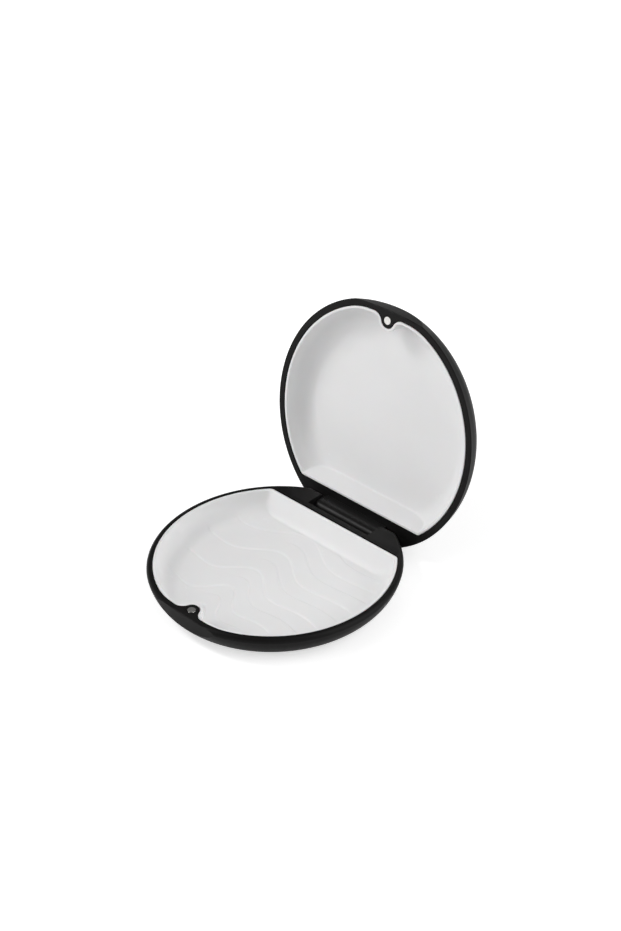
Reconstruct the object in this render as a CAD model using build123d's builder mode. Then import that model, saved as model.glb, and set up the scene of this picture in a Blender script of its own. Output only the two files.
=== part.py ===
from build123d import *
from math import cos, radians, sin, sqrt, tan
import os

# Folding retainer case, shown open, in millimetres.
# The origin is the centre of the flat underside, +Z is up, and the hinge runs along X at the back (+Y).
# Each half is an oval moulded shell with a white tray pressed into it, and a disc magnet in a boss at the front.

# Plan of the tray, at its lip
tray_half_width = 38.6
tray_half_depth = 39.5
front_trim = 1.45
front_bow = 200.0
front_blend_share = 0.57
corner_round = 1.8

# Shell
rim_width = 2.4
shell_height = 10.5
wall_draft = 15.6
roll_excess = 0.5
shell_floor = 1.6
groove = 0.25
rear_trim = 4.66
base_rim_round = 1.4
lid_rim_round = 0.25
rear_round = 2.4
foot_trim = 0.05
thumb_rim_width = 2.15
thumb_bow = 110.0
thumb_draft = 4.0

# Tray insert
tray_wall = 1.1
lip_width = 0.95
lip_drop = 0.2
tray_roll_inset = 0.6
support_rib_height = 0.45
support_rib_width = 1.2
support_rib_inset = 14.0
base_land = 10.2
base_back_lean = 24.0
base_crease_round = 1.2
lid_land = 8.06
lid_back_lean = 16.0
lid_crease_round = 0.5

# Magnet and its boss
magnet_radius = 1.5
magnet_length = 2.5
magnet_edge = 0.2
magnet_recess = 0.15
magnet_fit = 0.05
boss_radius = 2.6
boss_inset = 1.55
boss_blend = 3.5

# Hinge
open_angle = 100.7
hinge_drop = 3.83
knuckle_radius = 2.85
knuckle_length = 26.2
knuckle_end_gap = 0.3
slot_front_gap = 2.4
slot_corner_round = 1.2
stop_gap = 0.15
closing_gap = 0.1
pin_radius = 0.75
pin_engagement = 5.0
pin_recess = 0.35
pin_press_fit = 0.01
pin_running_fit = 0.05
bore_end_gap = 0.4

# Places that follow from those sizes, in the frame of one half: Z = 0 on its flat outside, opening upwards
front_blend = tray_half_width * front_blend_share
shell_roll = shell_height + roll_excess
tray_roll = shell_roll - rim_width - tray_roll_inset
outside_half_width = tray_half_width + rim_width
outside_half_depth = tray_half_depth + rim_width
front_y = -(tray_half_depth - front_trim)
rear_y = outside_half_depth - rear_trim
boss_y = front_y + boss_inset
tray_underside = shell_floor + support_rib_height
hinge_y = rear_y - knuckle_radius
hinge_z = shell_height - hinge_drop
lip_z = shell_height - lip_drop
closed_height = 2 * shell_height + closing_gap
lid_hinge_z = closed_height - hinge_z
knuckle_half = knuckle_length / 2
slot_half = knuckle_half + knuckle_end_gap
slot_front_y = hinge_y - knuckle_radius - slot_front_gap
reach = 2 * outside_half_depth
overrun = 1.0
skin = 0.01


def bowl(half_width, half_depth, bottom, top, roll, edge_round=0.0):
    """Solid oval bowl: a drafted wall that rolls into a flat bottom, with its given size at the top."""
    foot = half_width - (top - bottom) * tan(radians(wall_draft))
    with BuildPart() as turned:
        with BuildSketch(Plane.XZ) as section:
            with BuildLine():
                Polyline((0, bottom), (foot, bottom), (half_width, top), (0, top), close=True)
            make_face()
            fillet(section.vertices().group_by(Axis.Y)[0].sort_by(Axis.X)[-1:], radius=roll)
            if edge_round:
                fillet(section.vertices().group_by(Axis.Y)[-1].sort_by(Axis.X)[-1:], radius=edge_round)
        revolve(axis=Axis.Z)
    return scale(turned.part, by=(1, half_depth / half_width, 1), about=(0, 0, 0))


def tray_column(chord_y, grow, bottom, top):
    """Upright column on the tray's outline, moved outwards by grow, with the notch for the boss."""
    with BuildPart() as column:
        with BuildSketch(Plane.XY.offset(bottom - overrun)) as outline:
            Ellipse(tray_half_width + grow, tray_half_depth + grow)
            with Locations((0, front_y + front_bow)):
                Circle(front_bow + grow, mode=Mode.INTERSECT)
            with Locations((0, chord_y + grow)):
                Rectangle(reach, reach, align=(Align.CENTER, Align.MAX), mode=Mode.INTERSECT)
            with Locations((0, boss_y)):
                Circle(boss_radius - grow, mode=Mode.SUBTRACT)
            fillet(outline.vertices().sort_by(lambda corner: abs(corner.X))[:2], radius=boss_blend + grow)
            front = outline.vertices().filter_by(lambda corner: corner.Y < 0)
            fillet(front.sort_by(lambda corner: abs(corner.X))[-2:], radius=front_blend + grow)
            fillet(outline.vertices().group_by(Axis.Y)[-1], radius=corner_round + grow)
        extrude(amount=top - bottom + 2 * overrun)
    return column.part


def tray_room(chord_y, grow, bottom, top, roll, back_lean=0.0, back_crease=0.0):
    """Space inside the tray's outline, as deep as the bowl, with its back wall leaning in."""
    room_bowl = bowl(tray_half_width + grow, tray_half_depth + grow, bottom, top, roll)
    column = tray_column(chord_y, grow, bottom, top)
    with BuildPart() as room:
        add(column)
        if back_lean:
            low = bottom - skin
            foot_y = chord_y + grow - (top - low) * tan(radians(back_lean))
            over_y = foot_y + reach * tan(radians(back_lean))
            with BuildSketch(Plane.YZ.offset(-reach)) as kept:
                with BuildLine():
                    Polyline((-reach, low), (foot_y, low), (over_y, low + reach), (-reach, low + reach), close=True)
                make_face()
                fillet(kept.vertices().group_by(Axis.Y)[0].sort_by(Axis.X)[-1:], radius=back_crease)
            extrude(amount=2 * reach, mode=Mode.INTERSECT)
        add(room_bowl, mode=Mode.INTERSECT)
    return room.part


def wall_half_width(y, z):
    """Half width of the outside wall where a level line at y meets the bottom roll at height z."""
    foot = outside_half_width - (shell_height + foot_trim) * tan(radians(wall_draft))
    roll_centre = foot - shell_roll * tan(radians(90 - wall_draft) / 2)
    half_width = roll_centre + sqrt(shell_roll**2 - (shell_roll - foot_trim - z) ** 2)
    half_depth = half_width * outside_half_depth / outside_half_width
    return half_width * sqrt(1 - (y / half_depth) ** 2)


def shell_blank(chord_y, rim_round, back_edge_round):
    """Outer shell of one half, before its hinge is cut: oval bowl, thumb flat, back wall, tray space and boss."""
    outside = bowl(outside_half_width, outside_half_depth, -foot_trim, shell_height, shell_roll, rim_round)
    room = tray_room(chord_y, groove, shell_floor, shell_height, shell_roll - rim_width + groove)
    with BuildPart() as blank:
        add(outside)
        # The thumb flat at the front is slightly bowed and drafted, with a rounded top edge
        thumb_y = front_y - thumb_rim_width
        thumb_foot_y = thumb_y + (shell_height + overrun) * tan(radians(thumb_draft))
        with BuildSketch(Plane.YZ) as front:
            with BuildLine():
                Polyline(
                    (thumb_foot_y, -overrun),
                    (thumb_y + thumb_bow, -overrun),
                    (thumb_y + thumb_bow, shell_height + skin),
                    (thumb_y, shell_height + skin),
                    close=True,
                )
            make_face()
            fillet(front.vertices().group_by(Axis.Y)[-1].sort_by(Axis.X)[:1], radius=lid_rim_round)
        revolve(axis=Axis((0, thumb_y + thumb_bow, 0), (0, 0, 1)), mode=Mode.INTERSECT)
        # The back wall is upright, and the outside is trimmed to a flat at Z = 0
        with BuildSketch(Plane.YZ.offset(-reach / 2)) as back:
            with Locations((rear_y, shell_height + skin)):
                Rectangle(reach, shell_height + skin, align=(Align.MAX, Align.MAX))
            fillet(back.vertices().group_by(Axis.Y)[-1].sort_by(Axis.X)[-1:], radius=back_edge_round)
        extrude(amount=reach, mode=Mode.INTERSECT)
        add(room, mode=Mode.SUBTRACT)
        with BuildSketch(Plane.XY.offset(shell_height)):
            with Locations((0, boss_y)):
                Circle(magnet_radius + magnet_fit)
        extrude(amount=-(magnet_length + magnet_recess), mode=Mode.SUBTRACT)
        with BuildSketch(Plane.XY.offset(shell_floor)):
            Ellipse(tray_half_width - support_rib_inset, tray_half_depth - support_rib_inset)
            Ellipse(
                tray_half_width - support_rib_inset - support_rib_width,
                tray_half_depth - support_rib_inset - support_rib_width,
                mode=Mode.SUBTRACT,
            )
        extrude(amount=support_rib_height)
    return blank.part


def tray(chord_y, back_lean, back_crease):
    """White tray insert of one half: thin walls, a lip and a leaning back wall."""
    outer = tray_room(chord_y, 0, tray_underside, lip_z, tray_roll)
    floor_z = tray_underside + tray_wall
    inner = tray_room(chord_y, -lip_width, floor_z, lip_z, tray_roll - tray_wall, back_lean, back_crease)
    with BuildPart() as insert:
        add(outer)
        add(inner, mode=Mode.SUBTRACT)
    return insert.part


base_chord_y = rear_y - base_land
lid_chord_y = rear_y - lid_land
base_blank = shell_blank(base_chord_y, base_rim_round, rear_round)
lid_blank = shell_blank(lid_chord_y, lid_rim_round, lid_rim_round)
base_tray = tray(base_chord_y, base_back_lean, base_crease_round)
lid_tray = tray(lid_chord_y, lid_back_lean, lid_crease_round)

# The lid's plane: its flat outside, turned back about the hinge from where it lies when closed
turn = radians(open_angle)
closed_y, closed_z = -hinge_y, closed_height - hinge_z
lid_origin_y = hinge_y + closed_y * cos(turn) + closed_z * sin(turn)
lid_origin_z = hinge_z - closed_y * sin(turn) + closed_z * cos(turn)
lid_plane = Plane(
    origin=(0, lid_origin_y, lid_origin_z),
    x_dir=(-1, 0, 0),
    z_dir=(0, -sin(turn), -cos(turn)),
)

# Base shell, with the slot for the knuckle between two lugs
with BuildPart() as base_shell:
    add(base_blank)
    with BuildSketch(Plane.YZ.offset(-slot_half)) as slot:
        # The slot's floor is a ramp that lies along the back of the knuckle when the lid is open
        ramp_drop = knuckle_radius + stop_gap
        front_floor = hinge_z - (ramp_drop + (slot_front_y - hinge_y) * -cos(turn)) / sin(turn)
        back_floor = hinge_z - (ramp_drop + (reach - hinge_y) * -cos(turn)) / sin(turn)
        with BuildLine():
            Polyline(
                (slot_front_y, reach),
                (slot_front_y, front_floor),
                (reach, back_floor),
                (reach, reach),
                close=True,
            )
        make_face()
        fillet(slot.vertices().group_by(Axis.X)[0].sort_by(Axis.Y)[:1], radius=slot_corner_round)
    extrude(amount=2 * slot_half, mode=Mode.SUBTRACT)
    with BuildSketch(Plane.YZ.offset(-outside_half_width)):
        with Locations((hinge_y, hinge_z)):
            Circle(pin_radius + pin_press_fit)
    extrude(amount=2 * outside_half_width, mode=Mode.SUBTRACT)
base_shell.part.label = "base_shell"

# Lid shell, with the knuckle standing out of its land, in the lid's own frame first
with BuildPart() as lid_form:
    add(lid_blank)
    with BuildSketch(Plane.YZ.offset(-knuckle_half)) as knuckle:
        with Locations((hinge_y, lid_hinge_z)):
            Circle(knuckle_radius)
        with Locations((rear_y, lid_hinge_z)):
            Rectangle(
                2 * knuckle_radius,
                lid_hinge_z - shell_height + shell_floor,
                align=(Align.MAX, Align.MAX),
            )
    extrude(amount=knuckle_length)
    for side in (-1, 1):
        with BuildSketch(Plane.YZ.offset(side * knuckle_half)):
            with Locations((hinge_y, lid_hinge_z)):
                Circle(pin_radius + pin_running_fit)
        extrude(amount=-side * (pin_engagement + bore_end_gap), mode=Mode.SUBTRACT)

with BuildPart(lid_plane) as lid_shell:
    add(lid_form.part)
lid_shell.part.label = "lid_shell"

# White trays
with BuildPart() as base_liner:
    add(base_tray)
base_liner.part.label = "base_liner"

with BuildPart(lid_plane) as lid_liner:
    add(lid_tray)
lid_liner.part.label = "lid_liner"

# Closing magnets, a little below the face of each boss
magnet_top = shell_height - magnet_recess
with BuildPart() as base_magnet:
    with BuildSketch(Plane.XY.offset(magnet_top)):
        with Locations((0, boss_y)):
            Circle(magnet_radius)
    extrude(amount=-magnet_length)
    chamfer(base_magnet.edges().filter_by(GeomType.CIRCLE), length=magnet_edge)
base_magnet.part.label = "base_magnet"

with BuildPart() as lid_magnet:
    with BuildSketch(lid_plane.offset(magnet_top)):
        with Locations((0, boss_y)):
            Circle(magnet_radius)
    extrude(amount=-magnet_length)
    chamfer(lid_magnet.edges().filter_by(GeomType.CIRCLE), length=magnet_edge)
lid_magnet.part.label = "lid_magnet"

# Hinge pins, pressed into the lugs from outside
pin_inner_x = knuckle_half - pin_engagement
pin_outer_x = wall_half_width(hinge_y + pin_radius, hinge_z) - pin_recess
with BuildPart() as hinge_pin_left:
    with BuildSketch(Plane.YZ.offset(-pin_outer_x)):
        with Locations((hinge_y, hinge_z)):
            Circle(pin_radius)
    extrude(amount=pin_outer_x - pin_inner_x)
hinge_pin_left.part.label = "hinge_pin_left"

with BuildPart() as hinge_pin_right:
    with BuildSketch(Plane.YZ.offset(pin_inner_x)):
        with Locations((hinge_y, hinge_z)):
            Circle(pin_radius)
    extrude(amount=pin_outer_x - pin_inner_x)
hinge_pin_right.part.label = "hinge_pin_right"

os.makedirs("parts", exist_ok=True)
export_step(base_shell.part, "parts/base_shell.step")
export_step(base_liner.part, "parts/base_liner.step")
export_step(base_magnet.part, "parts/base_magnet.step")
export_step(lid_shell.part, "parts/lid_shell.step")
export_step(lid_liner.part, "parts/lid_liner.step")
export_step(lid_magnet.part, "parts/lid_magnet.step")
export_step(hinge_pin_left.part, "parts/hinge_pin_left.step")
export_step(hinge_pin_right.part, "parts/hinge_pin_right.step")
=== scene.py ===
"""Dressed model of a folding retainer case, standing open on a pale floor.

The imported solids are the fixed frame. The two black shells, the magnets and the hinge pins are
those solids in moulded and plated finishes. The two white trays are finer pieces with a rounded
lip, and the lower one has low waves moulded into its floor. Lengths of the case are in
millimetres, and meshes and stage are in metres.
"""

import logging
import math
from dataclasses import dataclass
from enum import Enum
from typing import Callable, Dict, List, Optional, Sequence, Tuple

import bmesh
import bpy
import numpy as np
from mathutils import Matrix, Vector


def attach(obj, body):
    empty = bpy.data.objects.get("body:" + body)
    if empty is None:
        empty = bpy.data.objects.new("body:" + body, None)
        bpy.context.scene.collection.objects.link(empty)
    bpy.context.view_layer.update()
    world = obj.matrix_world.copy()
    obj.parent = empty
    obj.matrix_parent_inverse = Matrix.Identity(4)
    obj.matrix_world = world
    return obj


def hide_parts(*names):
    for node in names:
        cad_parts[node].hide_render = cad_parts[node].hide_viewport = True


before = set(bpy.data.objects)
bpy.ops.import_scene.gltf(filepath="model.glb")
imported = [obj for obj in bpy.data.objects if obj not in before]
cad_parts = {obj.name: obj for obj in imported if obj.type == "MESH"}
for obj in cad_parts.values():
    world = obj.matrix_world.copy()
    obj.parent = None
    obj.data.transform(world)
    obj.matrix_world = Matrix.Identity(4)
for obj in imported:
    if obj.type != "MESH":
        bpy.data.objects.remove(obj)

LOG = logging.getLogger("retainer_case")
MM = 0.001
Colour = Tuple[float, float, float]
Array = np.ndarray
Socket = bpy.types.NodeSocket
WHITE: Colour = (1.0, 1.0, 1.0)

# A Mix node gives its colour sockets the names of its other kinds, so they go by their places
MIX_COLOUR_INPUTS = (0, 6, 7)
MIX_COLOUR_RESULT = 2

# How finely outlines and sections are drawn before they are thinned, in points and millimetres
OVAL_POINTS = 1200
CHORD_POINTS = 600
SECTION_POINTS = 160
UPRIGHT_POINTS = 60
FEWEST_ARC_POINTS = 8
BEND_WINDOW = 61
BISECTIONS = 60
FINE_STEP = 0.04
SAME_POINT = 1e-6


class Half(Enum):
    """The two halves of the case, by the body that each rides on."""

    BASE = "base"
    LID = "lid"


def opaque(colour: Colour, times: float = 1.0) -> Tuple[float, float, float, float]:
    """A colour scaled by a number, with full alpha."""
    return (*(part * times for part in colour), 1.0)


def smooth_max(one: Array, other: Array, blend: float) -> Array:
    """The larger of two heights, with a rounded crease where they cross.

    Args:
        one: First heights.
        other: Second heights.
        blend: How far apart the two may be and still be blended.

    Returns:
        The blended larger heights.
    """
    share = np.clip(0.5 + 0.5 * (one - other) / blend, 0.0, 1.0)
    return other * (1.0 - share) + one * share + blend * share * (1.0 - share)


# Node tools


class Wiring:
    """Short calls for making and joining the nodes of one tree."""

    def __init__(self, tree: bpy.types.NodeTree) -> None:
        """Keeps the node tree to fill, and empties it."""
        self.tree = tree
        tree.nodes.clear()

    def add(self, kind: str, **settings: object) -> bpy.types.Node:
        """Makes a node.

        Args:
            kind: The node's type name.
            settings: Attributes to set on it.

        Returns:
            The new node.
        """
        node = self.tree.nodes.new(kind)
        for key, value in settings.items():
            setattr(node, key, value)
        return node

    def join(self, source: Socket, target: Socket) -> None:
        """Links one socket to another."""
        self.tree.links.new(source, target)

    def feed(self, target: Socket, value: object) -> None:
        """Sets a socket's value, or links it.

        Args:
            target: The socket to feed.
            value: A number, a colour or the socket to link it to.
        """
        if isinstance(value, Socket):
            self.join(value, target)
        else:
            target.default_value = value

    def math(self, operation: str, *values: object, clamp: bool = False) -> Socket:
        """Adds a Math node.

        Args:
            operation: The operation's name.
            values: Numbers or sockets, in order.
            clamp: Whether the result stays between 0 and 1.

        Returns:
            The node's result.
        """
        node = self.add("ShaderNodeMath", operation=operation, use_clamp=clamp)
        for place, value in enumerate(values):
            self.feed(node.inputs[place], value)
        return node.outputs[0]

    def span(
        self, value: object, low: object, high: object, to_low: object, to_high: object
    ) -> Socket:
        """Adds a smooth Map Range.

        Args:
            value: The number or socket to map.
            low: Where the result is to_low.
            high: Where the result is to_high.
            to_low: The result at low and beyond.
            to_high: The result at high and beyond.

        Returns:
            The node's result.
        """
        node = self.add("ShaderNodeMapRange", interpolation_type="SMOOTHSTEP")
        names = ("Value", "From Min", "From Max", "To Min", "To Max")
        for name, given in zip(names, (value, low, high, to_low, to_high)):
            self.feed(node.inputs[name], given)
        return node.outputs["Result"]

    def mix(self, share: object, first: object, second: object) -> Socket:
        """Adds a colour Mix.

        Args:
            share: The share of the second colour.
            first: The first colour.
            second: The second colour.

        Returns:
            The mixed colour.
        """
        node = self.add("ShaderNodeMix", data_type="RGBA")
        for place, given in zip(MIX_COLOUR_INPUTS, (share, first, second)):
            self.feed(node.inputs[place], given)
        return node.outputs[MIX_COLOUR_RESULT]


def add_socket(
    tree: bpy.types.NodeTree,
    name: str,
    kind: str,
    output: bool = False,
    value: Optional[float] = None,
) -> None:
    """Adds a named socket to a group's interface.

    Args:
        tree: The group.
        name: The socket's name.
        kind: Its type, such as "NodeSocketFloat".
        output: Whether it is an output.
        value: Its value until it is set.
    """
    in_out = "OUTPUT" if output else "INPUT"
    made = tree.interface.new_socket(name=name, in_out=in_out, socket_type=kind)
    if value is not None:
        made.default_value = value


def spark_texture() -> bpy.types.NodeTree:
    """Shader group for the fine eroded texture that a mould leaves.

    Returns:
        The group, which puts out a height, a grain mask and a slow mottling mask.
    """
    noise_share, cell_share = 0.6, 0.5
    mottle_low, mottle_high = 0.35, 0.65
    tree = bpy.data.node_groups.new("mould_texture", "ShaderNodeTree")
    wires = Wiring(tree)
    add_socket(tree, "Grains per metre", "NodeSocketFloat", value=4000.0)
    add_socket(tree, "Mottles per metre", "NodeSocketFloat", value=60.0)
    add_socket(tree, "Height", "NodeSocketFloat", output=True)
    add_socket(tree, "Grain", "NodeSocketFloat", output=True)
    add_socket(tree, "Mottle", "NodeSocketFloat", output=True)
    given, result = wires.add("NodeGroupInput"), wires.add("NodeGroupOutput")
    place = wires.add("ShaderNodeTexCoord").outputs["Object"]
    fine = wires.add("ShaderNodeTexNoise", noise_dimensions="3D")
    cells = wires.add("ShaderNodeTexVoronoi", feature="SMOOTH_F1")
    slow = wires.add("ShaderNodeTexNoise", noise_dimensions="3D")
    for node in (fine, cells, slow):
        wires.join(place, node.inputs["Vector"])
    wires.join(given.outputs["Grains per metre"], fine.inputs["Scale"])
    wires.join(given.outputs["Grains per metre"], cells.inputs["Scale"])
    wires.join(given.outputs["Mottles per metre"], slow.inputs["Scale"])
    fine.inputs["Detail"].default_value = 3.0
    slow.inputs["Detail"].default_value = 4.0
    celled = wires.math("MULTIPLY", cells.outputs["Distance"], cell_share)
    grain = wires.math("MULTIPLY_ADD", fine.outputs[0], noise_share, celled)
    wires.join(grain, result.inputs["Height"])
    wires.join(wires.math("SUBTRACT", grain, 0.0, clamp=True), result.inputs["Grain"])
    mottle = wires.span(slow.outputs[0], mottle_low, mottle_high, 0.0, 1.0)
    wires.join(mottle, result.inputs["Mottle"])
    return tree


def edge_polish_and_highlight() -> bpy.types.NodeTree:
    """Shader group that marks outer edges, which get lower roughness as polish and a painted
    highlight in their colour.

    Returns:
        The group, which puts out an edge mask.
    """
    flat, patch_low, patch_high, least = 0.5, 0.3, 0.7, 0.5
    tree = bpy.data.node_groups.new("edge_polish_and_highlight", "ShaderNodeTree")
    wires = Wiring(tree)
    add_socket(tree, "Width", "NodeSocketFloat", value=0.06)
    add_socket(tree, "Patches per metre", "NodeSocketFloat", value=150.0)
    add_socket(tree, "Edge", "NodeSocketFloat", output=True)
    given, result = wires.add("NodeGroupInput"), wires.add("NodeGroupOutput")
    place = wires.add("ShaderNodeTexCoord").outputs["Object"]
    bend = wires.add("ShaderNodeNewGeometry").outputs["Pointiness"]
    patches = wires.add("ShaderNodeTexNoise", noise_dimensions="3D")
    wires.join(place, patches.inputs["Vector"])
    wires.join(given.outputs["Patches per metre"], patches.inputs["Scale"])
    raised = wires.span(bend, flat, wires.math("ADD", given.outputs["Width"], flat), 0.0, 1.0)
    uneven = wires.span(patches.outputs[0], patch_low, patch_high, least, 1.0)
    wires.join(wires.math("MULTIPLY", raised, uneven, clamp=True), result.inputs["Edge"])
    return tree


class Groups:
    """The shader groups that more than one finish uses, each built once."""

    def __init__(self) -> None:
        """Builds the groups."""
        self.texture = spark_texture()
        self.edges = edge_polish_and_highlight()


# Finishes


@dataclass(frozen=True)
class MouldedFinish:
    """Moulded plastic with a fine mould texture, slight mottling, and edges that are polished and
    painted lighter as a highlight.
    """

    name: str
    colour: Colour
    edge_highlight: float
    mottle: float
    roughness: float
    roughness_swing: float
    specular: float
    grains_per_metre: float
    grain_strength: float
    grain_height: float = 0.00002
    scatter: float = 0.0

    def material(self, groups: Groups) -> bpy.types.Material:
        """Builds the material.

        Args:
            groups: The shared shader groups.

        Returns:
            The material.
        """
        made = bpy.data.materials.new(self.name)
        made.use_nodes = True
        wires = Wiring(made.node_tree)
        out = wires.add("ShaderNodeOutputMaterial")
        skin = wires.add("ShaderNodeBsdfPrincipled")
        texture = wires.add("ShaderNodeGroup", node_tree=groups.texture)
        edges = wires.add("ShaderNodeGroup", node_tree=groups.edges)
        texture.inputs["Grains per metre"].default_value = self.grains_per_metre
        deep = opaque(self.colour, 1.0 - self.mottle)
        light = opaque(self.colour, 1.0 + self.mottle)
        # Painted highlight: the colour along the outer edges is made lighter, while below the edge
        # mask also lowers the roughness as real polish
        highlit_edge_colour = opaque(self.colour, 1.0 + self.edge_highlight)
        tone = wires.mix(texture.outputs["Mottle"], deep, light)
        wires.join(wires.mix(edges.outputs["Edge"], tone, highlit_edge_colour), skin.inputs["Base Color"])
        swing = self.roughness_swing
        rough = wires.math("MULTIPLY_ADD", texture.outputs["Grain"], swing, self.roughness)
        polished = wires.math("MULTIPLY_ADD", edges.outputs["Edge"], -swing, rough)
        wires.join(polished, skin.inputs["Roughness"])
        bump = wires.add("ShaderNodeBump")
        bump.inputs["Strength"].default_value = self.grain_strength
        bump.inputs["Distance"].default_value = self.grain_height
        wires.join(texture.outputs["Height"], bump.inputs["Height"])
        wires.join(bump.outputs[0], skin.inputs["Normal"])
        skin.inputs["Specular IOR Level"].default_value = self.specular
        if self.scatter:
            skin.inputs["Subsurface Weight"].default_value = self.scatter
            skin.inputs["Subsurface Scale"].default_value = MM
        wires.join(skin.outputs[0], out.inputs[0])
        return made


@dataclass(frozen=True)
class PlatedFinish:
    """Plated or drawn metal with fine rubbing marks."""

    name: str
    colour: Colour
    roughness: float
    roughness_swing: float
    mottles_per_metre: float = 700.0
    dulling: float = 0.86

    def material(self, groups: Groups) -> bpy.types.Material:
        """Builds the material.

        Args:
            groups: The shared shader groups.

        Returns:
            The material.
        """
        made = bpy.data.materials.new(self.name)
        made.use_nodes = True
        wires = Wiring(made.node_tree)
        out = wires.add("ShaderNodeOutputMaterial")
        skin = wires.add("ShaderNodeBsdfPrincipled")
        texture = wires.add("ShaderNodeGroup", node_tree=groups.texture)
        texture.inputs["Mottles per metre"].default_value = self.mottles_per_metre
        mottle = texture.outputs["Mottle"]
        tone = wires.mix(mottle, opaque(self.colour, self.dulling), opaque(self.colour))
        wires.join(tone, skin.inputs["Base Color"])
        rough = wires.math("MULTIPLY_ADD", mottle, self.roughness_swing, self.roughness)
        wires.join(rough, skin.inputs["Roughness"])
        skin.inputs["Metallic"].default_value = 1.0
        wires.join(skin.outputs[0], out.inputs[0])
        return made


SHELL_FINISH = MouldedFinish(
    name="soft_touch_black",
    colour=(0.0064, 0.0062, 0.0061),
    # painted highlight: the shell's edges are painted nearly twice as light as its colour
    edge_highlight=0.9,
    mottle=0.12,
    roughness=0.32,
    roughness_swing=0.10,
    specular=0.088,
    grains_per_metre=5200.0,
    grain_strength=0.22,
)
TRAY_FINISH = MouldedFinish(
    name="satin_white",
    colour=(0.815, 0.813, 0.815),
    edge_highlight=0.03,
    mottle=0.008,
    roughness=0.36,
    roughness_swing=0.08,
    specular=0.40,
    grains_per_metre=3600.0,
    grain_strength=0.05,
    scatter=0.05,
)
MAGNET_FINISH = PlatedFinish("nickel_plate", (0.83, 0.82, 0.79), 0.13, 0.08)
PIN_FINISH = PlatedFinish("drawn_steel", (0.50, 0.49, 0.475), 0.28, 0.12)


# Relief in the lower tray's floor


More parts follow.
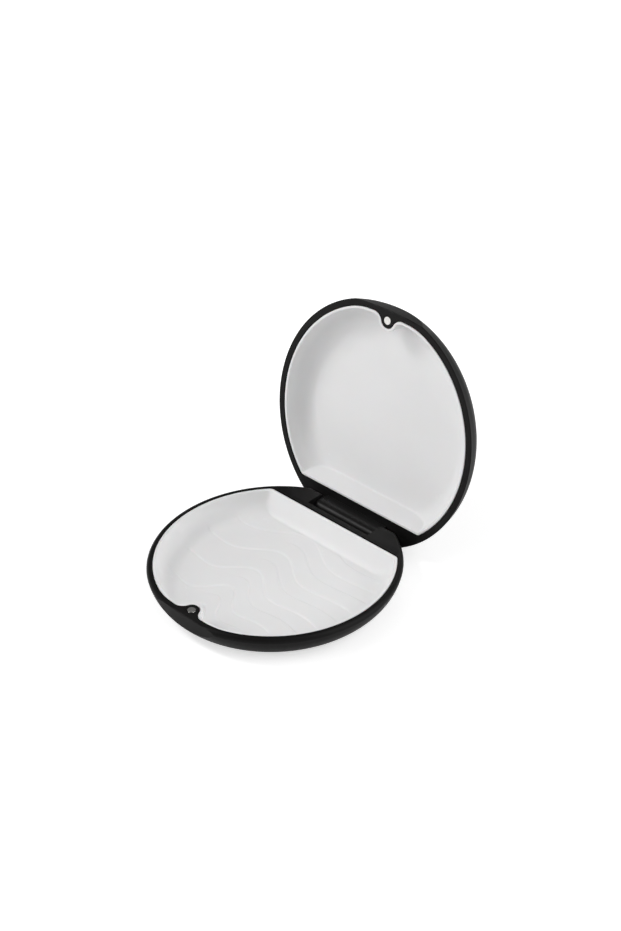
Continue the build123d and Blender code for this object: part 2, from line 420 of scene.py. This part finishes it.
@dataclass
class WaveRelief:
    """Low wavy bands moulded into a tray floor.

    One edge of a band steps up and the next steps down. Lengths are in millimetres, and the
    spread is how much wider the crests get per metre towards the back.
    """

    floor: float = 3.15
    height: float = 0.30
    spacing: float = 12.0
    offset: float = 1.6
    crest_x: float = -6.0
    crest: float = 7.0
    half_width: float = 8.0
    ripple: float = 0.8
    ripple_turn: float = 1.9
    band_share: float = 0.5
    step: float = 0.85
    climb: float = 2.2
    spread: float = 18.8
    spread_from: float = -9.0
    merge_left: float = -11.0
    merge_right: float = -5.0
    back: float = 20.5
    back_end: float = 22.5

    def values(self) -> Dict[str, float]:
        """The sizes that the tree takes.

        Returns:
            Values by the input's name, in metres and, for the spread, per metre.
        """
        return {
            "Floor": self.floor * MM,
            "Height": self.height * MM,
            "Spacing": self.spacing * MM,
            "Offset": self.offset * MM,
            "Crest X": self.crest_x * MM,
            "Crest": self.crest * MM,
            "Half width": self.half_width * MM,
            "Ripple": self.ripple * MM,
            "Step": self.step * MM,
            "Climb": self.climb * MM,
            "Spread": self.spread,
            "Spread from": self.spread_from * MM,
            "Merge left": self.merge_left * MM,
            "Merge right": self.merge_right * MM,
            "Back": self.back * MM,
            "Back end": self.back_end * MM,
        }

    def tree(self) -> bpy.types.NodeTree:
        """Builds the Geometry Nodes tree that lifts the floor's points into bands.

        Returns:
            The tree, with one named input for each size and one for the material.
        """
        tree = bpy.data.node_groups.new("floor_waves", "GeometryNodeTree")
        wires = Wiring(tree)
        add_socket(tree, "Geometry", "NodeSocketGeometry")
        for name in self.values():
            add_socket(tree, name, "NodeSocketFloat")
        add_socket(tree, "Material", "NodeSocketMaterial")
        add_socket(tree, "Geometry", "NodeSocketGeometry", output=True)
        given, result = wires.add("NodeGroupInput"), wires.add("NodeGroupOutput")
        sizes = {name: given.outputs[name] for name in self.values()}
        parts = wires.add("ShaderNodeSeparateXYZ")
        wires.join(wires.add("GeometryNodeInputPosition").outputs[0], parts.inputs[0])
        x, y, z = parts.outputs
        # Each band rises to one crest, and the crests get wider towards the back
        back = wires.math("SUBTRACT", y, sizes["Spread from"])
        wider = wires.math("MULTIPLY_ADD", back, sizes["Spread"], 1.0)
        from_crest = wires.math("SUBTRACT", x, sizes["Crest X"])
        along = wires.math("DIVIDE", from_crest, wires.math("MULTIPLY", sizes["Half width"], wider))
        squared = wires.math("MULTIPLY", along, along)
        crest = wires.math("EXPONENT", wires.math("MULTIPLY", squared, -1.0))
        ripple = wires.math("COSINE", wires.math("MULTIPLY", along, self.ripple_turn))
        bent = wires.math("SUBTRACT", y, wires.math("MULTIPLY", crest, sizes["Crest"]))
        bent = wires.math("SUBTRACT", bent, wires.math("MULTIPLY", ripple, sizes["Ripple"]))
        bent = wires.math("SUBTRACT", bent, sizes["Offset"])
        phase = wires.math("FRACT", wires.math("DIVIDE", bent, sizes["Spacing"]))
        edge = wires.math("DIVIDE", sizes["Step"], sizes["Spacing"])
        up = wires.span(phase, 0.0, edge, 0.0, 1.0)
        down_end = wires.math("ADD", edge, self.band_share)
        down = wires.span(phase, self.band_share, down_end, 0.0, 1.0)
        # On the left the second edge of a band fades into a long slope
        merged = wires.span(x, sizes["Merge left"], sizes["Merge right"], 0.0, 1.0)
        fall = wires.math("MULTIPLY_ADD", wires.math("SUBTRACT", down, phase), merged, phase)
        terrace = wires.math("SUBTRACT", up, fall)
        # The bands run a little way up the round foot of the wall, and fade there and at the back.
        # The tray's underside lies lower than the floor and stays flat.
        rise = wires.math("SUBTRACT", z, sizes["Floor"])
        inside = wires.math("GREATER_THAN", rise, wires.math("MULTIPLY", sizes["Height"], -0.5))
        fade = wires.span(rise, 0.0, sizes["Climb"], 1.0, 0.0)
        back_fade = wires.span(y, sizes["Back"], sizes["Back end"], 1.0, 0.0)
        shown = wires.math("MULTIPLY", inside, wires.math("MULTIPLY", fade, back_fade))
        lift = wires.math("MULTIPLY", wires.math("MULTIPLY", terrace, sizes["Height"]), shown)
        offset = wires.add("ShaderNodeCombineXYZ")
        wires.join(lift, offset.inputs[2])
        move = wires.add("GeometryNodeSetPosition")
        wires.join(given.outputs["Geometry"], move.inputs["Geometry"])
        wires.join(offset.outputs[0], move.inputs["Offset"])
        real = wires.add("GeometryNodeRealizeInstances")
        wires.join(move.outputs[0], real.inputs[0])
        dress = wires.add("GeometryNodeSetMaterial")
        wires.join(real.outputs[0], dress.inputs["Geometry"])
        wires.join(given.outputs["Material"], dress.inputs["Material"])
        wires.join(dress.outputs[0], result.inputs[0])
        return tree

    def apply(self, piece: bpy.types.Object, finish: bpy.types.Material) -> None:
        """Runs the tree on a piece and keeps the result as its plain mesh.

        Args:
            piece: The tray whose floor gets the relief.
            finish: The tray's material.
        """
        tree = self.tree()
        modifier = piece.modifiers.new("floor_waves", "NODES")
        modifier.node_group = tree
        sockets = {s.name: s.identifier for s in tree.interface.items_tree if s.in_out == "INPUT"}
        for name, value in self.values().items():
            modifier[sockets[name]] = value
        modifier[sockets["Material"]] = finish
        bpy.context.view_layer.update()
        graph = bpy.context.evaluated_depsgraph_get()
        result = bpy.data.meshes.new_from_object(piece.evaluated_get(graph))
        piece.modifiers.remove(modifier)
        plain = piece.data
        piece.data = result
        bpy.data.meshes.remove(plain)


# White tray inserts


@dataclass
class TrayInsert:
    """A white tray: an oval with a bowed front, a notch round the boss and a leaning back wall.

    The sizes are in millimetres and degrees, in the frame of one half, whose flat outside is at
    Z = 0 and which opens upwards. The counts set how fine its mesh is.
    """

    name: str
    node: str
    half: Half
    place: Matrix
    chord_y: float
    back_lean: float
    crease: float
    relief: Optional[WaveRelief] = None
    half_width: float = 38.6
    half_depth: float = 39.5
    front_y: float = -38.05
    front_bow: float = 200.0
    front_blend: float = 22.0
    corner_round: float = 1.8
    boss_y: float = -36.5
    boss_radius: float = 2.6
    boss_blend: float = 3.5
    lip_z: float = 10.3
    lip_width: float = 0.95
    underside: float = 2.05
    wall: float = 1.1
    roll: float = 8.0
    draft: float = 15.6
    middle: Tuple[float, float] = (0.0, -4.0)
    core: int = 212
    wall_stations: int = 6
    lip_stations: int = 12
    inner_stations: int = 36
    lip_softness: float = 0.17
    lip_spreads: float = 3.0
    underside_rings: int = 4
    relaxing: int = 1500
    bend_pull: float = 7.0
    bend_limit: float = 2.2
    floor_pull: float = 1.5
    edge_power: float = 10.0
    edge_share: float = 0.97

    @property
    def floor_z(self) -> float:
        """Height of the tray's floor."""
        return self.underside + self.wall

    def ellipse_at(self, turn: float) -> Tuple[Array, Array]:
        """A place on the plan's oval.

        Args:
            turn: Its parameter angle in radians.

        Returns:
            The point and the outward normal.
        """
        point = np.array([self.half_width * math.cos(turn), self.half_depth * math.sin(turn)])
        normal = np.array([math.cos(turn) / self.half_width, math.sin(turn) / self.half_depth])
        return point, normal / np.linalg.norm(normal)

    def blend_angle(
        self, low: float, high: float, radius: float, miss: Callable[[Array], float]
    ) -> float:
        """Angle on the oval where a blend circle of a radius touches it.

        Args:
            low: One bound, where miss is positive.
            high: The other bound, where miss is negative.
            radius: The blend circle's radius.
            miss: Function of the circle's centre, zero where it touches the other line.

        Returns:
            The angle in radians.
        """
        for _ in range(BISECTIONS):
            half_way = (low + high) / 2.0
            point, normal = self.ellipse_at(half_way)
            if miss(point - radius * normal) > 0.0:
                low = half_way
            else:
                high = half_way
        return (low + high) / 2.0

    @staticmethod
    def arc(
        centre: Array, radius: float, start: float, end: float, hollow: bool = False
    ) -> Tuple[Array, Array]:
        """Dense points and outward normals along an arc.

        Args:
            centre: The arc's centre.
            radius: Its radius.
            start: First angle in radians.
            end: Last angle in radians.
            hollow: Whether the tray lies outside the arc's circle.

        Returns:
            Points and outward normals.
        """
        count = max(FEWEST_ARC_POINTS, int(abs(end - start) * radius / FINE_STEP))
        turns = np.linspace(start, end, count)
        rays = np.stack([np.cos(turns), np.sin(turns)], axis=1)
        return centre + radius * rays, -rays if hollow else rays

    def right_outline(self) -> Tuple[Array, Array]:
        """Dense outline of the plan's right side, from the front of the notch round to the back.

        Returns:
            Points and outward normals.
        """
        front = np.array([0.0, self.front_y + self.front_bow])
        boss = np.array([0.0, self.boss_y])
        # Blend between the boss and the front: it touches both circles
        to_front, to_boss = self.front_bow - self.boss_blend, self.boss_radius + self.boss_blend
        apart = front[1] - boss[1]
        rise = (apart**2 + to_boss**2 - to_front**2) / (2.0 * apart)
        pocket = boss + np.array([math.sqrt(to_boss**2 - rise**2), rise])
        boss_turn = math.atan2(*(pocket - boss)[::-1])
        pocket_turn = math.atan2(*(pocket - front)[::-1])
        # Blend between the front and the oval, and between the oval and the back
        front_turn = self.blend_angle(
            -math.pi / 2,
            0.0,
            self.front_blend,
            lambda c: float(np.linalg.norm(c - front)) - (self.front_bow - self.front_blend),
        )
        back_turn = self.blend_angle(
            math.pi / 2,
            0.0,
            self.corner_round,
            lambda c: float(c[1]) - (self.chord_y - self.corner_round),
        )
        point, normal = self.ellipse_at(front_turn)
        shoulder = point - self.front_blend * normal
        shoulder_turns = (math.atan2(*(shoulder - front)[::-1]), math.atan2(*normal[::-1]))
        corner_point, corner_normal = self.ellipse_at(back_turn)
        corner = corner_point - self.corner_round * corner_normal
        turns = np.linspace(front_turn, back_turn, OVAL_POINTS)
        oval = [self.ellipse_at(turn) for turn in turns]
        chord_x = np.linspace(corner[0], 0.0, CHORD_POINTS)
        chord = np.stack([chord_x, np.full(CHORD_POINTS, self.chord_y)], axis=1)
        runs = [
            self.arc(boss, self.boss_radius, math.pi / 2, boss_turn, hollow=True),
            self.arc(pocket, self.boss_blend, boss_turn - math.pi, pocket_turn),
            self.arc(front, self.front_bow, pocket_turn, shoulder_turns[0]),
            self.arc(shoulder, self.front_blend, *shoulder_turns),
            (np.array([p for p, _ in oval]), np.array([n for _, n in oval])),
            self.arc(corner, self.corner_round, math.atan2(*corner_normal[::-1]), math.pi / 2),
            (chord, np.tile([0.0, 1.0], (CHORD_POINTS, 1))),
        ]
        points = np.concatenate([run[0] for run in runs])
        normals = np.concatenate([run[1] for run in runs])
        fresh = np.r_[True, np.linalg.norm(np.diff(points, axis=0), axis=1) > SAME_POINT]
        return points[fresh], normals[fresh]

    def outline(self) -> Tuple[Array, Array]:
        """The closed plan outline, closer spaced where it bends.

        Returns:
            Points and outward normals, four times core of each, anticlockwise from the notch.
        """
        points, normals = self.right_outline()
        steps = np.linalg.norm(np.diff(points, axis=0), axis=1)
        bends = np.linalg.norm(np.diff(normals, axis=0), axis=1) / steps
        kernel = np.hanning(BEND_WINDOW)
        padded = np.pad(bends, BEND_WINDOW // 2, mode="edge")
        bends = np.convolve(padded, kernel / kernel.sum(), mode="valid")
        closer = 1.0 + np.minimum(self.bend_pull * bends, self.bend_limit)
        weight = np.r_[0.0, np.cumsum(steps * closer)]
        count = 2 * self.core
        even = np.linspace(0.0, weight[-1], count + 1)
        right = np.stack([np.interp(even, weight, points[:, i]) for i in (0, 1)], axis=1)
        lean = np.stack([np.interp(even, weight, normals[:, i]) for i in (0, 1)], axis=1)
        lean /= np.linalg.norm(lean, axis=1)[:, None]
        right[0, 0] = right[-1, 0] = 0.0
        mirror = np.array([-1.0, 1.0])
        return (
            np.concatenate([right, right[-2:0:-1] * mirror]),
            np.concatenate([lean, lean[-2:0:-1] * mirror]),
        )

    def roll_start(self, inset: float, bottom: float, roll: float) -> float:
        """Half width at which the round foot of a bowl's wall begins.

        Args:
            inset: How far the bowl lies inside the plan's oval at the lip.
            bottom: Height of its floor.
            roll: Radius of the round foot.

        Returns:
            The half width of the bowl's flat floor.
        """
        slope = math.tan(math.radians(self.draft))
        foot = self.half_width - inset - (self.lip_z - bottom) * slope
        return foot - roll * math.tan(math.radians(90.0 - self.draft) / 2.0)

    def bowl_height(self, plan: Array, inset: float, bottom: float, roll: float) -> Array:
        """Height of the bowl's surface over points of the plan.

        Args:
            plan: Points of the plan, in the last axis.
            inset: How far the bowl lies inside the plan's oval at the lip.
            bottom: Height of its floor.
            roll: Radius of the round foot of its wall.

        Returns:
            Heights, no higher than the lip.
        """
        slope = math.tan(math.radians(self.draft))
        ratio = (self.half_width - inset) / (self.half_depth - inset)
        reach = np.hypot(plan[..., 0], plan[..., 1] * ratio)
        centre = self.roll_start(inset, bottom, roll)
        touch = centre + roll * math.cos(math.radians(self.draft))
        out = np.clip(reach - centre, 0.0, touch - centre)
        rolled = bottom + roll - np.sqrt(roll**2 - out**2)
        straight = rolled + np.maximum(reach - touch, 0.0) / slope
        return np.minimum(straight, self.lip_z)

    def bowl_foot(self, inset: float, bottom: float, roll: float) -> Tuple[float, float]:
        """Half width and half depth of a bowl's flat floor."""
        centre = self.roll_start(inset, bottom, roll)
        return centre, centre * (self.half_depth - inset) / (self.half_width - inset)

    def floor_edge(self, starts: Array, foot: Tuple[float, float], back: float) -> Array:
        """Where lines from the outline to the middle come onto the flat floor.

        Args:
            starts: The lines' outer ends.
            foot: Half width and half depth of the flat.
            back: Y of the flat's back.

        Returns:
            The points, one for each line.
        """
        shallow, never = 0.01, 1e6
        middle = np.array(self.middle)
        rays = starts - middle
        reach = np.linalg.norm(rays, axis=1)
        rays /= reach[:, None]
        axes = np.array(foot)
        a = ((rays / axes) ** 2).sum(axis=1)
        b = (2.0 * rays * middle / axes**2).sum(axis=1)
        c = ((middle / axes) ** 2).sum() - 1.0
        oval = (-b + np.sqrt(b**2 - 4.0 * a * c)) / (2.0 * a)
        straight = (back - middle[1]) / np.maximum(rays[:, 1], shallow)
        behind = np.where(rays[:, 1] > shallow, straight, never)
        # The nearest of the three limits holds, with rounded corners between them
        limits = (oval, behind, self.edge_share * reach)
        edge = sum(limit**-self.edge_power for limit in limits) ** (-1.0 / self.edge_power)
        return middle + rays * edge[:, None]

    def inner_height(self, plan: Array) -> Array:
        """Height of the tray's inner surface.

        Args:
            plan: Points of the plan, in the last axis.

        Returns:
            Heights, no higher than the lip.
        """
        bowl = self.bowl_height(plan, self.lip_width, self.floor_z, self.roll - self.wall)
        back = self.chord_y - self.lip_width
        leaning = self.lip_z - (back - plan[..., 1]) / math.tan(math.radians(self.back_lean))
        return np.minimum(smooth_max(bowl, leaning, self.crease), self.lip_z)

    def outer_height(self, plan: Array) -> Array:
        """Height of the tray's outer surface over points of the plan."""
        return self.bowl_height(plan, 0.0, self.underside, self.roll)

    def sections(self) -> Array:
        """Cross-sections of the wall, from the underside over the lip and down to the floor.

        Returns:
            Points as (place round the outline, station, xyz).
        """
        outer, normals = self.outline()
        inner = outer - self.lip_width * normals
        lean_run = (self.lip_z - self.floor_z) * math.tan(math.radians(self.back_lean))
        floor_back = self.chord_y - self.lip_width - lean_run - self.crease
        inner_foot = self.bowl_foot(self.lip_width, self.floor_z, self.roll - self.wall)
        outer_foot = self.bowl_foot(0.0, self.underside, self.roll)
        inner_end = self.floor_edge(inner, inner_foot, floor_back)
        outer_end = self.floor_edge(outer, outer_foot, self.chord_y - self.wall)
        places = zip(outer, inner, outer_end, inner_end)
        return np.stack([self.section(*place) for place in places])

    def section(self, outer: Array, inner: Array, outer_end: Array, inner_end: Array) -> Array:
        """One cross-section, with its corners rounded.

        Args:
            outer: The lip's outer edge in the plan.
            inner: The lip's inner edge in the plan.
            outer_end: Where the section starts on the underside.
            inner_end: Where it ends on the floor.

        Returns:
            The section's stations.
        """
        share = np.linspace(0.0, 1.0, SECTION_POINTS)[:, None]
        under = outer_end + share * (outer - outer_end)
        down = inner + share * (inner_end - inner)
        under_z, down_z = self.outer_height(under), self.inner_height(down)
        upright = np.linspace(0.0, 1.0, UPRIGHT_POINTS)
        up_z = under_z[-1] + upright * (self.lip_z - under_z[-1])
        drop_z = self.lip_z + upright * (down_z[0] - self.lip_z)
        runs = (
            np.column_stack([under, under_z]),
            np.column_stack([np.tile(outer, (UPRIGHT_POINTS, 1)), up_z]),
            np.column_stack([outer + share * (inner - outer), np.full(SECTION_POINTS, self.lip_z)]),
            np.column_stack([np.tile(inner, (UPRIGHT_POINTS, 1)), drop_z]),
            np.column_stack([down, down_z]),
        )
        line = np.concatenate(runs)
        travel = np.r_[0.0, np.cumsum(np.linalg.norm(np.diff(line, axis=0), axis=1))]
        lip_first = SECTION_POINTS + UPRIGHT_POINTS
        lip_start = travel[lip_first - 1]
        lip_end = travel[lip_first + SECTION_POINTS - 1]
        even = np.arange(0.0, travel[-1], FINE_STEP)
        fine = np.stack([np.interp(even, travel, line[:, i]) for i in range(3)], axis=1)
        # The corners are rounded by a running mean with a bell-shaped weight
        spread = self.lip_softness / FINE_STEP
        reach = int(self.lip_spreads * spread) + 1
        kernel = np.exp(-0.5 * (np.arange(-reach, reach + 1) / spread) ** 2)
        kernel /= kernel.sum()
        padded = np.pad(fine, ((reach, reach), (0, 0)), mode="edge")
        soft = np.stack([np.convolve(axis, kernel, mode="valid") for axis in padded.T], axis=1)
        soft[0], soft[-1] = fine[0], fine[-1]
        margin = self.lip_spreads * self.lip_softness
        # The stations down the wall lie closer towards the floor, where the relief begins
        nearer = 1.0 - np.linspace(1.0, 0.0, self.inner_stations) ** self.floor_pull
        lip_from, lip_to = lip_start - margin, lip_end + margin
        stops = np.concatenate(
            [
                np.linspace(0.0, lip_from, self.wall_stations, endpoint=False),
                np.linspace(lip_from, lip_to, self.lip_stations, endpoint=False),
                lip_to + (even[-1] - lip_end - margin) * nearer,
            ]
        )
        return np.stack([np.interp(stops, even, soft[:, i]) for i in range(3)], axis=1)

    def core_grid(self, edge: Array, edge_index: Array, first: int) -> Tuple[Array, Array]:
        """Even grid over the floor, inside the last stations.

        Args:
            edge: The last stations, whose points the grid's border shares.
            edge_index: The index of each of those points.
            first: Index that the grid's first own point gets.

        Returns:
            The grid's own points, and the index of each place of the grid.
        """
        n, half_cell = self.core, 0.5 / self.core
        middle = np.array(self.middle)
        closed = np.concatenate([edge, edge[:1]])
        lines = np.linspace(-1.0, 1.0, n + 1)
        u, v = np.meshgrid(lines, lines, indexing="ij")
        ring = np.maximum(np.abs(u), np.abs(v))
        safe = np.maximum(ring, half_cell)
        # Place of each point's ray along the border, counted in border points from the notch
        sides = [-v >= np.abs(u), u >= np.abs(v), v >= np.abs(u)]
        runs = [1.0 + u / safe, 3.0 + v / safe, 5.0 - u / safe]
        along = (np.select(sides, runs, 7.0 - v / safe) * n / 2.0 - n / 2.0) % (4 * n)
        counts = np.arange(4 * n + 1)
        border = np.stack([np.interp(along, counts, closed[:, i]) for i in (0, 1)], axis=-1)
        spots = middle + ring[..., None] * (border - middle)
        # Each own point moves between its neighbours, until no crease is left along the diagonals
        for _ in range(self.relaxing):
            around = spots[2:, 1:-1] + spots[:-2, 1:-1] + spots[1:-1, 2:] + spots[1:-1, :-2]
            spots[1:-1, 1:-1] = around / 4.0
        own = ring < 1.0 - half_cell
        index = edge_index[np.rint(along).astype(int) % (4 * n)]
        index[own] = first + np.arange(own.sum())
        return np.column_stack([spots[own], np.full(own.sum(), self.floor_z)]), index

    def build(self) -> bpy.types.Object:
        """Builds the tray's closed mesh, in the frame of its half.

        Returns:
            The tray's object.
        """
        stations = self.sections()
        around, along = stations.shape[:2]
        onward = [(k + 1) % around for k in range(around)]
        points = [stations.reshape(-1, 3)]
        cells: List[Sequence[int]] = []
        for k, after in enumerate(onward):
            here, there = k * along, after * along
            cells += [(here + m, there + m, there + m + 1, here + m + 1) for m in range(along - 1)]
        count = around * along
        starts = np.arange(around) * along
        core, index = self.core_grid(stations[:, -1, :], starts + along - 1, count)
        points.append(core)
        count += len(core)
        quads = (index[:-1, :-1], index[1:, :-1], index[1:, 1:], index[:-1, 1:])
        cells += np.stack(quads, axis=-1).reshape(-1, 4).tolist()
        # The underside is flat: rings to a closed middle
        edge = stations[:, 0, :]
        hub = np.array([*self.middle, self.underside])
        previous = starts.tolist()
        for ring in range(1, self.underside_rings):
            share = 1.0 - ring / self.underside_rings
            points.append(hub + share * (edge - hub))
            fresh = [count + k for k in range(around)]
            cells += [(previous[k], fresh[k], fresh[m], previous[m]) for k, m in enumerate(onward)]
            previous, count = fresh, count + around
        points.append(hub[None, :])
        cells += [(previous[k], count, previous[m]) for k, m in enumerate(onward)]
        mesh = bpy.data.meshes.new(self.name)
        mesh.from_pydata((np.concatenate(points) * MM).tolist(), [], cells)
        edit = bmesh.new()
        edit.from_mesh(mesh)
        bmesh.ops.recalc_face_normals(edit, faces=edit.faces)
        for face in edit.faces:
            face.smooth = True
        edit.to_mesh(mesh)
        edit.free()
        piece = bpy.data.objects.new(self.name, mesh)
        bpy.context.scene.collection.objects.link(piece)
        return piece

    def dress(self, finish: bpy.types.Material) -> bpy.types.Object:
        """Builds the tray, gives it its relief and finish, and puts it on its half of the case.

        Args:
            finish: The tray's material.

        Returns:
            The tray's object.
        """
        piece = self.build()
        if self.relief:
            self.relief.apply(piece, finish)
        else:
            piece.data.materials.append(finish)
        piece.data.transform(self.place)
        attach(piece, self.half.value)
        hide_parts(self.node)
        return piece


@dataclass
class HingedCase:
    """The whole case: the frame's shells, magnets and pins in their finishes, and both trays."""

    rear_y: float = 37.24
    hinge_y: float = 34.39
    hinge_z: float = 6.67
    open_angle: float = 100.7
    closed_height: float = 21.1
    base_land: float = 10.2
    lid_land: float = 8.06

    def lid_place(self) -> Matrix:
        """Place of the lid's own frame when the case is open.

        Returns:
            The matrix, in metres.
        """
        turn = math.radians(self.open_angle)
        back, up = -self.hinge_y, self.closed_height - self.hinge_z
        y = self.hinge_y + back * math.cos(turn) + up * math.sin(turn)
        z = self.hinge_z - back * math.sin(turn) + up * math.cos(turn)
        s, c = math.sin(turn), math.cos(turn)
        return Matrix(((-1, 0, 0, 0), (0, c, -s, y * MM), (0, -s, -c, z * MM), (0, 0, 0, 1)))

    def trays(self) -> List[TrayInsert]:
        """The lower and the upper tray.

        Returns:
            Both trays, not yet built.
        """
        lower = TrayInsert(
            name="base_tray_insert",
            node="base_liner",
            half=Half.BASE,
            place=Matrix.Identity(4),
            chord_y=self.rear_y - self.base_land,
            back_lean=24.0,
            crease=2.2,
            relief=WaveRelief(),
        )
        upper = TrayInsert(
            name="lid_tray_insert",
            node="lid_liner",
            half=Half.LID,
            place=self.lid_place(),
            chord_y=self.rear_y - self.lid_land,
            back_lean=16.0,
            crease=0.4,
            core=132,
            inner_stations=26,
        )
        return [lower, upper]

    def dress_nodes(self, finishes: Dict[str, bpy.types.Material]) -> None:
        """Gives the frame's own solids their finishes.

        Args:
            finishes: Material by the name of the node.
        """
        for name, finish in finishes.items():
            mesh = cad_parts[name].data
            mesh.materials.clear()
            mesh.materials.append(finish)
            LOG.info("finish %s on %s", finish.name, name)

    def build(self) -> None:
        """Builds the trays and dresses everything."""
        groups = Groups()
        shell, tray = SHELL_FINISH.material(groups), TRAY_FINISH.material(groups)
        magnet, pin = MAGNET_FINISH.material(groups), PIN_FINISH.material(groups)
        self.dress_nodes(
            {
                "base_shell": shell,
                "lid_shell": shell,
                "base_magnet": magnet,
                "lid_magnet": magnet,
                "hinge_pin_left": pin,
                "hinge_pin_right": pin,
            }
        )
        for insert in self.trays():
            piece = insert.dress(tray)
            LOG.info("piece %s: %d faces", piece.name, len(piece.data.polygons))


# Stage


@dataclass
class Lamp:
    """A soft square lamp that faces a point of the case."""

    name: str
    direction: Tuple[float, float, float]
    distance: float
    size: float
    power: float
    colour: Colour = WHITE

    def build(self, aim: Vector) -> None:
        """Makes the lamp.

        Args:
            aim: The point it faces, in metres.
        """
        light = bpy.data.lights.new(self.name, "AREA")
        light.shape = "SQUARE"
        light.size = self.size
        light.energy = self.power
        light.color = self.colour
        lamp = bpy.data.objects.new(self.name, light)
        away = Vector(self.direction).normalized()
        lamp.location = aim + away * self.distance
        lamp.rotation_euler = away.to_track_quat("Z", "Y").to_euler()
        bpy.context.scene.collection.objects.link(lamp)


@dataclass
class Studio:
    """Floor, surroundings, lamps and camera."""

    azimuth: float = 43.4734
    elevation: float = 33.8085
    distance: float = 0.493849
    aim: Tuple[float, float, float] = (0.015469, 0.0, 0.052770)
    focal_pixels: float = 1650.557
    long_side_pixels: float = 931.0
    sensor: float = 36.0
    near_clip: float = 0.01
    ambient: float = 0.256
    horizon: float = 0.80
    horizon_z: float = 0.02
    overhead: float = 0.16
    overhead_z: float = 0.25
    floor_half: float = 3.0
    floor_albedo: float = 0.85
    floor_glow: float = 0.55
    floor_glow_within: float = 0.15
    far_glow: float = 0.95
    far_glow_from: float = 0.8
    floor_mirror_glow: float = 0.10
    lamps: Sequence[Lamp] = (
        Lamp("side", (0.80, 0.34, 0.50), 0.9, 1.1, 7.2),
        Lamp("key", (-0.57, -0.38, 0.72), 0.9, 0.26, 2.8),
        Lamp("front", (-0.55, -0.75, 0.35), 1.1, 0.7, 4.3),
    )

    def camera(self) -> None:
        """Makes the camera at the photograph's viewing angle."""
        a, e = math.radians(self.azimuth), math.radians(self.elevation)
        back = Vector((math.sin(a) * math.cos(e), -math.cos(a) * math.cos(e), math.sin(e)))
        data = bpy.data.cameras.new("camera")
        data.sensor_width = self.sensor
        data.lens = self.focal_pixels * self.sensor / self.long_side_pixels
        data.clip_start = self.near_clip
        made = bpy.data.objects.new("camera", data)
        made.location = Vector(self.aim) + back * self.distance
        made.rotation_euler = (-back).to_track_quat("-Z", "Y").to_euler()
        bpy.context.scene.collection.objects.link(made)
        bpy.context.scene.camera = made

    @staticmethod
    def seen(wires: Wiring) -> Tuple[Socket, Socket]:
        """Masks of the rays that show the surroundings.

        Args:
            wires: The tree that they are for.

        Returns:
            Rays straight from the camera, and rays by way of a mirror or glass.
        """
        path = wires.add("ShaderNodeLightPath")
        glossy, clear = path.outputs["Is Glossy Ray"], path.outputs["Is Transmission Ray"]
        return path.outputs["Is Camera Ray"], wires.math("MAXIMUM", glossy, clear)

    def floor(self) -> None:
        """Makes the plain floor, which glows to white for the camera and keeps the shadow."""
        half = self.floor_half
        mesh = bpy.data.meshes.new("floor")
        ends = [(-half, -half, 0), (half, -half, 0), (half, half, 0), (-half, half, 0)]
        mesh.from_pydata(ends, [], [(0, 1, 2, 3)])
        floor = bpy.data.objects.new("floor", mesh)
        bpy.context.scene.collection.objects.link(floor)
        made = bpy.data.materials.new("floor_white")
        made.use_nodes = True
        wires = Wiring(made.node_tree)
        out = wires.add("ShaderNodeOutputMaterial")
        matt = wires.add("ShaderNodeBsdfDiffuse")
        matt.inputs["Color"].default_value = opaque(WHITE, self.floor_albedo)
        glow = wires.add("ShaderNodeEmission")
        straight, mirrored = self.seen(wires)
        faint = wires.math("MULTIPLY", mirrored, self.floor_mirror_glow)
        away = wires.add("ShaderNodeVectorMath", operation="LENGTH")
        wires.join(wires.add("ShaderNodeTexCoord").outputs["Object"], away.inputs[0])
        # Far from the case the lamps give out, so the floor glows more there
        level = wires.span(
            away.outputs["Value"],
            self.floor_glow_within,
            self.far_glow_from,
            self.floor_glow,
            self.far_glow,
        )
        wires.join(wires.math("MULTIPLY_ADD", straight, level, faint), glow.inputs["Strength"])
        both = wires.add("ShaderNodeAddShader")
        wires.join(matt.outputs[0], both.inputs[0])
        wires.join(glow.outputs[0], both.inputs[1])
        wires.join(both.outputs[0], out.inputs[0])
        mesh.materials.append(made)

    def surroundings(self) -> None:
        """Makes the surroundings: white to the camera, an even light, and dim overhead in gloss."""
        world = bpy.data.worlds.new("studio")
        bpy.context.scene.world = world
        world.use_nodes = True
        wires = Wiring(world.node_tree)
        out = wires.add("ShaderNodeOutputWorld")
        sky = wires.add("ShaderNodeBackground")
        sky.inputs["Color"].default_value = opaque(WHITE)
        parts = wires.add("ShaderNodeSeparateXYZ")
        wires.join(wires.add("ShaderNodeTexCoord").outputs["Generated"], parts.inputs[0])
        straight, mirrored = self.seen(wires)
        reflected = wires.span(
            parts.outputs["Z"], self.horizon_z, self.overhead_z, self.horizon, self.overhead
        )
        extra = wires.math("MULTIPLY", mirrored, wires.math("SUBTRACT", reflected, self.ambient))
        lit = wires.math("ADD", extra, self.ambient)
        level = wires.math("MULTIPLY_ADD", straight, 1.0 - self.ambient, lit)
        wires.join(level, sky.inputs["Strength"])
        wires.join(sky.outputs[0], out.inputs[0])

    def build(self) -> None:
        """Makes the whole stage."""
        self.camera()
        self.floor()
        self.surroundings()
        for lamp in self.lamps:
            lamp.build(Vector(self.aim))
        bpy.context.scene.view_settings.view_transform = "Standard"


def main() -> None:
    """Builds the stage and the case."""
    logging.basicConfig(level=logging.INFO, format="%(name)s: %(message)s")
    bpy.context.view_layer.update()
    Studio().build()
    HingedCase().build()


if __name__ == "__main__":
    main()
